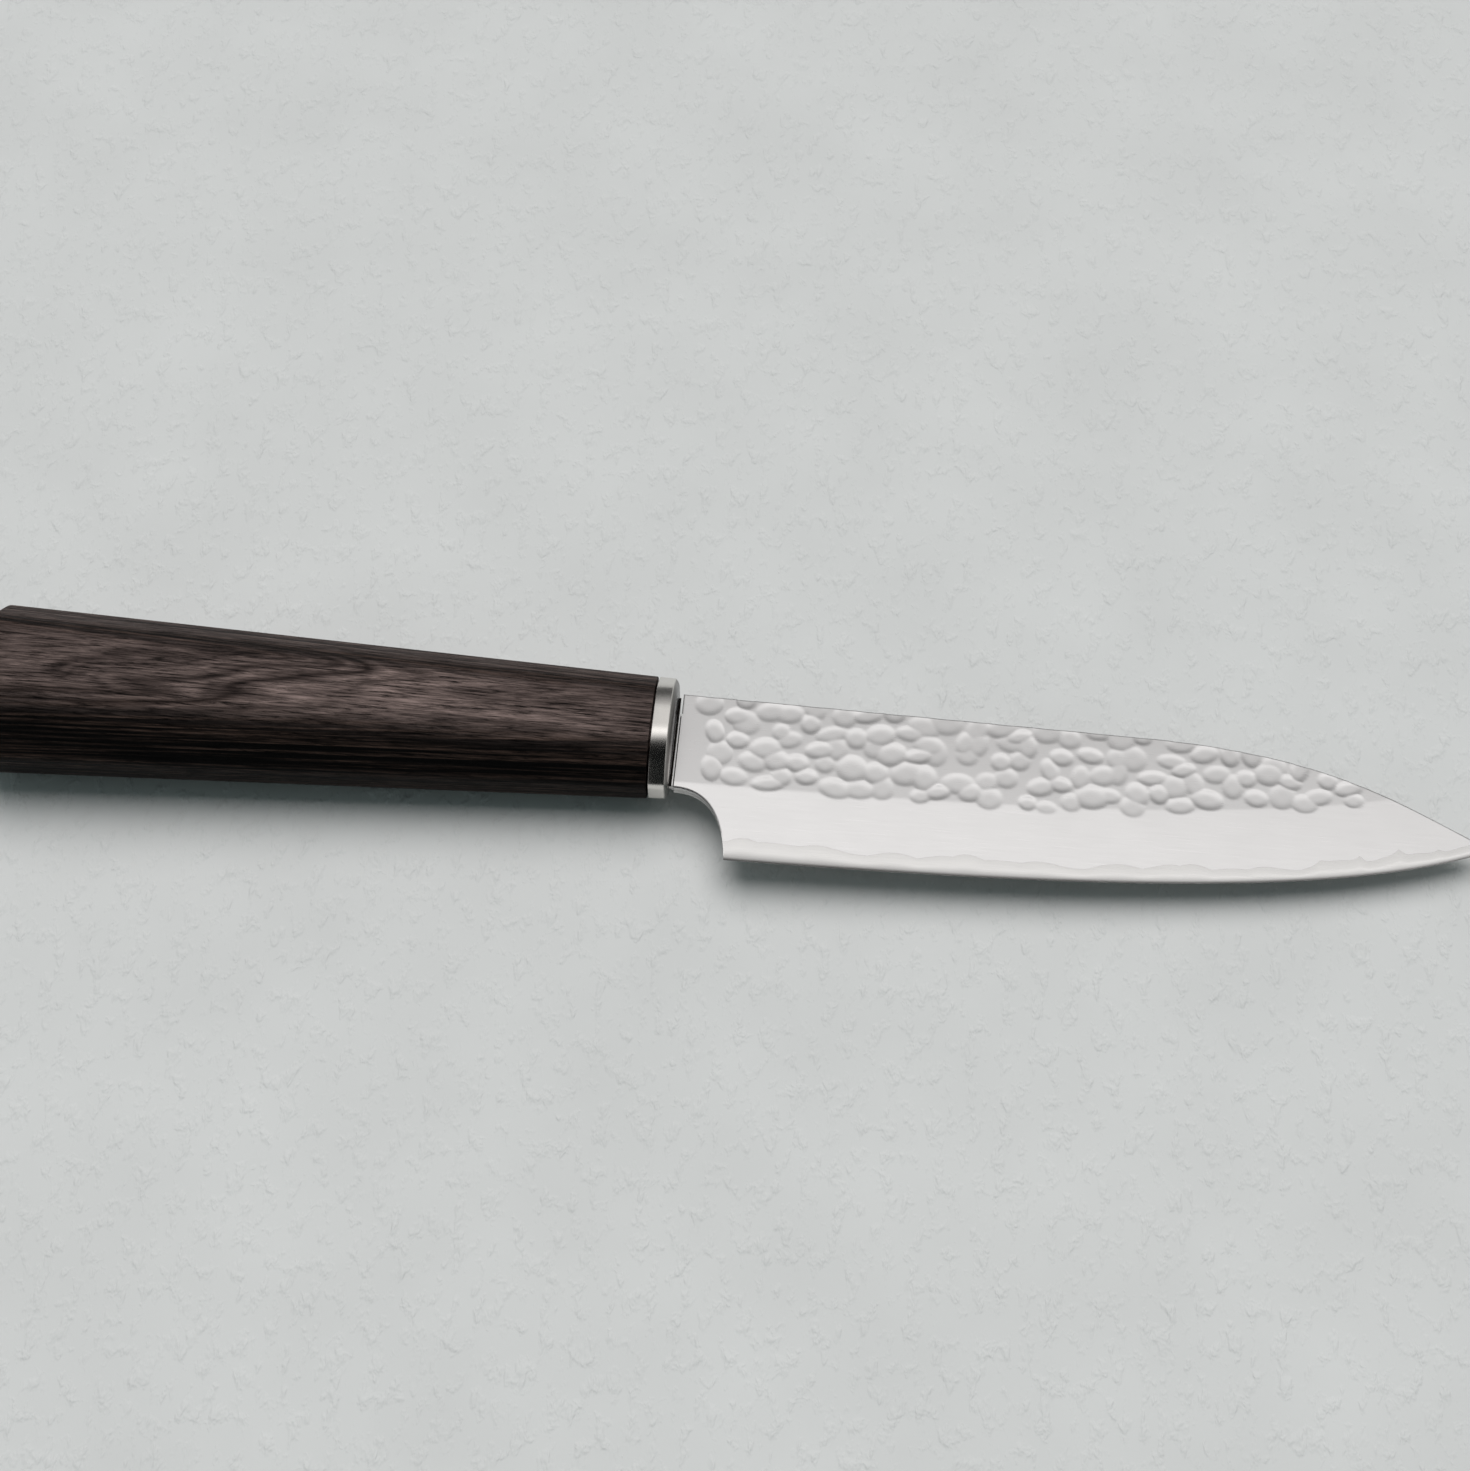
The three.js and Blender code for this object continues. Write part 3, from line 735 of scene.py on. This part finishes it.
finish_piece("collar_shell", collar_mesh("collar_shell"), "collar", collar_steel)

# %% [markdown]
# ## Wood patterns
# The handle is laminated hardwood: thin dark veneers, soaked in resin and pressed flat with the blade. A
# picture of wood is the usual way to show it, but noise stretched along the handle follows the real
# build: `plies` are the slightly wavy veneers, `seams` their edges and `fibre` the pores. Real pores are
# about a tenth of a millimetre wide, too fine to show, so they are drawn three to four times as coarse.

# %% Veneers, seams and pores
VENEER_WAVE = (83.0, 13.3, 33.0)
VENEER, VENEER_BEND = 0.77, 6.0
SEAM = (83.0, 3.3, 0.3125)
PORE, PORE_DEPTH = (6.5, 0.36, 0.36), 0.0001


def wood_patterns(tree, where):
    slow = add(tree, "ShaderNodeVectorMath", {0: where, 1: scale_of(*VENEER_WAVE)}, operation="MULTIPLY")
    warp = add(tree, "ShaderNodeTexNoise", {"Vector": slow.outputs[0], "Scale": 1.0, "Detail": 2.0})
    parts = add(tree, "ShaderNodeSeparateXYZ", {0: where})
    bend = add(tree, "ShaderNodeMath", {0: warp.outputs[0], 1: VENEER_BEND, 2: parts.outputs[2]},
               operation="MULTIPLY_ADD")
    layer = add(tree, "ShaderNodeCombineXYZ", {0: bend.outputs[0]})
    plies = add(tree, "ShaderNodeTexNoise", {"Vector": layer.outputs[0], "Scale": 1 / VENEER,
                                             "Detail": 3.0, "Roughness": 0.65})
    straight = add(tree, "ShaderNodeVectorMath", {0: where, 1: scale_of(*SEAM)}, operation="MULTIPLY")
    seams = add(tree, "ShaderNodeTexNoise", {"Vector": straight.outputs[0], "Scale": 1.0,
                                             "Detail": 3.0, "Roughness": 0.6})
    along = add(tree, "ShaderNodeVectorMath", {0: where, 1: scale_of(*PORE)}, operation="MULTIPLY")
    fibre = add(tree, "ShaderNodeTexNoise", {"Vector": along.outputs[0], "Scale": 1.0, "Detail": 6.0,
                                             "Roughness": 0.75, "Distortion": 0.5})
    return plies.outputs[0], seams.outputs[0], fibre.outputs[0]


print("veneers %.2f mm thick, pores drawn %.2f mm wide" % (VENEER, PORE[1]))

# %% [markdown]
# ## Wood
# The wide faces cut the veneers at a slant, which gives the eye long brown-grey streaks and rings. The
# sides cut them square, which gives fine straight lines, nearly black. A painted value mixes the two,
# and is partly painted shade: the edge side, away from the light, gets more of the dark lines than the
# spine side. The wood is sanded to a satin finish without a varnish, so it hardly shines.

# %% Wood material
def wood(name):
    material, tree, shader = new_material(name)
    where = add(tree, "ShaderNodeAttribute", attribute_name="knife_mm").outputs["Vector"]
    side = add(tree, "ShaderNodeAttribute", attribute_name="side_grain_and_shade").outputs["Fac"]
    plies, seams, fibre = wood_patterns(tree, where)
    tones = []
    for pattern, low, dark, high, light in ((plies, 0.39, "#110B0A", 0.62, "#70605C"),
                                            (seams, 0.45, "#010101", 0.66, "#352924")):
        ramp = add(tree, "ShaderNodeValToRGB", {0: pattern})
        stops = ramp.color_ramp.elements
        stops[0].position, stops[0].color = low, colour(dark)
        stops[1].position, stops[1].color = high, colour(light)
        tones.append(ramp.outputs[0])
    # The side grain mixed in here also carries painted shade on the edge side.
    tone = add(tree, "ShaderNodeMix", {0: side, 6: tones[0], 7: tones[1]}, data_type="RGBA")
    grain = add(tree, "ShaderNodeMapRange", {"Value": fibre, "From Min": 0.37, "From Max": 0.63,
                                             "To Min": 0.05, "To Max": 1.95})
    final = add(tree, "ShaderNodeVectorMath", {0: tone.outputs[2], 1: grain.outputs[0]},
                operation="MULTIPLY")
    gloss = add(tree, "ShaderNodeMapRange", {"Value": grain.outputs[0], "From Min": 0.3, "From Max": 1.5,
                                             "To Min": 0.65, "To Max": 0.5})
    relief = add(tree, "ShaderNodeBump",
                 {"Strength": 0.4, "Distance": PORE_DEPTH, "Height": grain.outputs[0]})
    tree.links.new(final.outputs[0], shader.inputs["Base Color"])
    tree.links.new(gloss.outputs[0], shader.inputs["Roughness"])
    tree.links.new(relief.outputs[0], shader.inputs["Normal"])
    shader.inputs["Specular IOR Level"].default_value = 0.1
    return material


dark_wood = wood("laminated dark hardwood, satin")
print("material:", dark_wood.name)

# %% [markdown]
# ## Handle
# The handle is a solid octagon with a rounded butt, a spigot that goes into the collar, and a slot for
# the tang. It could be a block with holes cut by booleans. One loft gives cleaner edges: its rings run
# from the butt over the spigot and down into the slot.

# %% Handle mesh
BUTT_ROUND, BUTT_RINGS, SPIGOT_INSET, SPIGOT_END = 1.6, 8, 1.5, -1.2
SHOULDER_X, SHOULDER_EASE, SHOULDER_STEP, HANDLE_RINGS = -2.85, 0.15, 0.04, 60
SLOT_WALL, SLOT_END = 1.3, -79.0


def handle_mesh(name):
    rings = []
    for turn in np.linspace(math.pi / 2, 0, BUTT_RINGS):
        x = -HANDLE_LENGTH + BUTT_ROUND * (1 - math.sin(turn))
        rings.append(octagon(x, BUTT_ROUND * (1 - math.cos(turn))))
    for x in np.linspace(BUTT_ROUND - HANDLE_LENGTH, SHOULDER_X - SHOULDER_EASE, HANDLE_RINGS)[1:]:
        rings.append(octagon(x, 0.0))
    rings += [octagon(SHOULDER_X - SHOULDER_STEP, SHOULDER_STEP), octagon(SHOULDER_X, SHOULDER_EASE)]
    rings += [octagon(SHOULDER_X, SPIGOT_INSET), octagon(SPIGOT_END, SPIGOT_INSET)]
    spigot = rings[-1]
    rings += [slot_ring(SPIGOT_END, spigot, SLOT_WALL), slot_ring(SLOT_END, spigot, SLOT_WALL)]
    return loft(name, rings)


# %% [markdown]
# ## Where the veneers show their edges
# The side grain could be worked out in the shader from the normal, but a real block isn't perfectly
# square to its veneers. Painting it by the distance from the ridges allows for that: little on the wide
# faces, most on the edge side, and a dark streak along the ridge on the spine side. The same value holds
# painted shade and light: the edge side, away from the light, is painted darkest, and beyond the
# spine-side ridge it is painted lighter again where that face turns to the light.

# %% Make the handle
body = handle_mesh("handle_wood")
places = np.array([v.co for v in body.vertices])
ridge_y = np.interp(places[:, 0], [-HANDLE_LENGTH, 0], [b[0] / 2 - b[2] for b in (BUTT, RIM)])
beyond = np.abs(places[:, 1]) - ridge_y
# Painted shade on the edge side and painted light beyond the spine-side ridge, mixed with the real side
# grain.
edge_side = np.interp(beyond, [-4.0, -2.3, 0.0, 2.0], [0.0, 0.25, 0.8, 1.0])
spine_side = np.interp(beyond, [-2.5, -1.0, 0.3, 1.5, 3.0], [0.0, 0.6, 0.95, 0.75, 0.6])
paint(body, "side_grain_and_shade", np.where(places[:, 1] < 0, edge_side, spine_side))
finish_piece("handle_wood", body, "handle", dark_wood)

# %% [markdown]
# ## Resin
# The tang is bedded in cured epoxy resin, amber and slightly glossy, with bubbles of about a millimetre.
# It is hidden in the handle, so the CAD solid itself is kept and only gets a material.

# %% Resin in the handle
BUBBLE = 1.1


def resin(name):
    material, tree, shader = new_material(name)
    where = add(tree, "ShaderNodeTexCoord").outputs["Object"]
    bubbles = add(tree, "ShaderNodeTexNoise", {"Vector": where, "Scale": 1000 / BUBBLE, "Detail": 2.0})
    tone = add(tree, "ShaderNodeMix", {0: bubbles.outputs[0], 6: colour("#7C6B44"), 7: colour("#97875F")},
               data_type="RGBA")
    tree.links.new(tone.outputs[2], shader.inputs["Base Color"])
    shader.inputs["Roughness"].default_value = 0.4
    return material


bed = frame["nodes"]["tang_adhesive"]
bed.data.materials.clear()
bed.data.materials.append(resin("amber epoxy resin"))
print("resin on:", bed.name)

# %% [markdown]
# ## Table
# The knife lies on a board with matt pale grey paint. A single colour would look like paper, so the
# paint has a faint mottle, some 25 mm across, and small pits and brush marks of 2 to 4 mm as bump.

# %% Table top
TABLE_HALF = 3.0
MOTTLE = 25.0
STROKE, PIT_DEPTH = (2.4, 4.2, 4.2), 0.0003


def table_paint(name):
    material, tree, shader = new_material(name)
    where = add(tree, "ShaderNodeTexCoord").outputs["Object"]
    mottle = add(tree, "ShaderNodeTexNoise", {"Vector": where, "Scale": 1000 / MOTTLE, "Detail": 4.0})
    drawn = add(tree, "ShaderNodeVectorMath", {0: where, 1: scale_of(*STROKE)}, operation="MULTIPLY")
    strokes = add(tree, "ShaderNodeTexNoise", {"Vector": drawn.outputs[0], "Scale": 1000.0,
                                               "Detail": 3.0, "Roughness": 0.6, "Distortion": 0.2})
    pits = add(tree, "ShaderNodeMapRange", {"Value": strokes.outputs[0], "From Min": 0.48,
                                            "From Max": 0.75}, interpolation_type="SMOOTHSTEP")
    tone = add(tree, "ShaderNodeMix", {0: mottle.outputs[0], 6: colour("#C8C6C5"), 7: colour("#D6D4D3")},
               data_type="RGBA")
    skin = add(tree, "ShaderNodeBump",
               {"Strength": 0.62, "Distance": PIT_DEPTH, "Height": pits.outputs[0]})
    tree.links.new(tone.outputs[2], shader.inputs["Base Color"])
    tree.links.new(skin.outputs[0], shader.inputs["Normal"])
    shader.inputs["Roughness"].default_value = 0.7
    return material


top = bpy.data.meshes.new("table")
corners = [(x * TABLE_HALF, y * TABLE_HALF, 0) for x, y in ((-1, -1), (1, -1), (1, 1), (-1, 1))]
top.from_pydata(corners, [], [(0, 1, 2, 3)])
top.materials.append(table_paint("painted board, matt pale grey"))
floor = bpy.data.objects.new("table", top)
bpy.context.scene.collection.objects.link(floor)
print("table: %.0f m wide" % (2 * TABLE_HALF))

# %% [markdown]
# ## Room
# Polished steel shows what stands around it. Lamps and walls could be modelled, but here the room is
# drawn in the world: one broad strip of light above and a little behind the knife, dim walls low down at
# both sides, and darkness towards the camera, which gives the collar and the dents their dark sides. Only
# glossy rays see that. Other rays get a faint even light, and the camera sees a plain pale backdrop.

# %% World
# Where each fade starts and ends in its direction, and its light before and after.
STRIP_FRONT, STRIP_BACK = (-0.15, 0.4, 0.0, 1.0), (0.36, 0.55, 1.0, 0.27)
STRIP_TOP = (0.35, 0.85, 0.25, 1.6)
SIDE_WALLS, WALL_TOP = (0.45, 0.7, 0.0, 0.3), (0.28, 0.42, 1.0, 0.0)
DARKEST, SOFT_LIGHT = 0.006, 0.2


def room():
    world = bpy.data.worlds.new("soft strip light in a dim room")
    bpy.context.scene.world = world
    world.use_nodes = True
    tree = world.node_tree
    tree.nodes.clear()
    way = add(tree, "ShaderNodeTexCoord").outputs["Generated"]
    side, back, up = add(tree, "ShaderNodeSeparateXYZ", {0: way}).outputs
    aside = add(tree, "ShaderNodeMath", {0: side}, operation="ABSOLUTE").outputs[0]
    fades = []
    for direction, (start, end, before, after) in ((back, STRIP_FRONT), (back, STRIP_BACK),
                                                   (up, STRIP_TOP), (aside, SIDE_WALLS), (up, WALL_TOP)):
        fade = add(tree, "ShaderNodeMapRange", {"Value": direction, "From Min": start, "From Max": end,
                                                "To Min": before, "To Max": after},
                   interpolation_type="SMOOTHSTEP")
        fades.append(fade.outputs[0])
    front, behind, above, walls, low = fades
    strip = add(tree, "ShaderNodeMath", {0: front, 1: behind}, operation="MULTIPLY").outputs[0]
    dim = add(tree, "ShaderNodeMath", {0: walls, 1: low, 2: DARKEST}, operation="MULTIPLY_ADD").outputs[0]
    glow = add(tree, "ShaderNodeMath", {0: strip, 1: above, 2: dim}, operation="MULTIPLY_ADD").outputs[0]
    rays = add(tree, "ShaderNodeLightPath").outputs
    soft = add(tree, "ShaderNodeBackground", {"Color": colour("#E4FFFF"), "Strength": SOFT_LIGHT})
    mirror = add(tree, "ShaderNodeBackground", {"Color": glow})
    pale = add(tree, "ShaderNodeBackground", {"Color": colour("#D3D8D6")})
    lit = add(tree, "ShaderNodeMixShader",
              {0: rays["Is Glossy Ray"], 1: soft.outputs[0], 2: mirror.outputs[0]})
    both = add(tree, "ShaderNodeMixShader",
               {0: rays["Is Camera Ray"], 1: lit.outputs[0], 2: pale.outputs[0]})
    add(tree, "ShaderNodeOutputWorld", {0: both.outputs[0]})
    print("world: %d nodes" % len(tree.nodes))


room()

# %% [markdown]
# ## Key light
# The shadow is soft and falls to the front, so the light stands high behind the knife and is broad. An
# area lamp would fade along the knife. A sun with a wide angle lights all of it evenly. Steel doesn't
# mirror the sun, because the strip in the world already stands for it.

# %% Sun
SUN_STRENGTH, SUN_WIDTH, SUN_WAY = 2.75, 58, (0.0, -0.375, -0.927)


def key_light():
    lamp = bpy.data.lights.new("window behind", "SUN")
    lamp.energy, lamp.angle = SUN_STRENGTH, math.radians(SUN_WIDTH)
    key = bpy.data.objects.new("window behind", lamp)
    key.rotation_euler = Vector(SUN_WAY).to_track_quat("-Z", "Y").to_euler()
    key.visible_glossy = False
    bpy.context.scene.collection.objects.link(key)
    print("sun: %d degrees wide" % SUN_WIDTH)


key_light()

# %% [markdown]
# ## Camera
# The camera stands in front of the edge and looks down at sixty degrees, turned a little towards the
# tip. It could be placed by eye. Here its place follows from one point: the middle of the collar's rim
# falls on a known pixel of the picture, at a known number of pixels for each millimetre.

# %% Camera
WIDTH, HEIGHT = 1470, 1471
FOCAL, PIXELS_PER_MM = 2400, 6.206
RIM_PIXEL = (670.2, 738.3)
LOOK_DOWN, LOOK_ASIDE = 60, 4.99
SENSOR, NEAREST, FARTHEST = 36, 0.01, 20


def camera():
    e, a = math.radians(LOOK_DOWN), math.radians(LOOK_ASIDE)
    back = Vector((math.sin(a) * math.cos(e), -math.cos(a) * math.cos(e), math.sin(e)))
    right = Vector((math.cos(a), math.sin(a), 0))
    up = Vector((-math.sin(a) * math.sin(e), math.cos(a) * math.sin(e), math.cos(e)))
    place = right * (WIDTH / 2 - RIM_PIXEL[0]) + up * (RIM_PIXEL[1] - HEIGHT / 2) + back * FOCAL
    lens = bpy.data.cameras.new("camera")
    lens.sensor_width = SENSOR
    lens.lens = FOCAL / HEIGHT * SENSOR
    lens.clip_start, lens.clip_end = NEAREST, FARTHEST
    eye = bpy.data.objects.new("camera", lens)
    turn = Matrix.Rotation(lie_angle, 4, "Y") @ Matrix((right, up, back)).transposed().to_4x4()
    eye.matrix_world = Matrix.Translation(to_frame @ (place / PIXELS_PER_MM)) @ turn
    bpy.context.scene.collection.objects.link(eye)
    bpy.context.scene.camera = eye
    print("camera: %.0f mm lens" % lens.lens)


camera()
bpy.context.scene.view_settings.view_transform = "Standard"
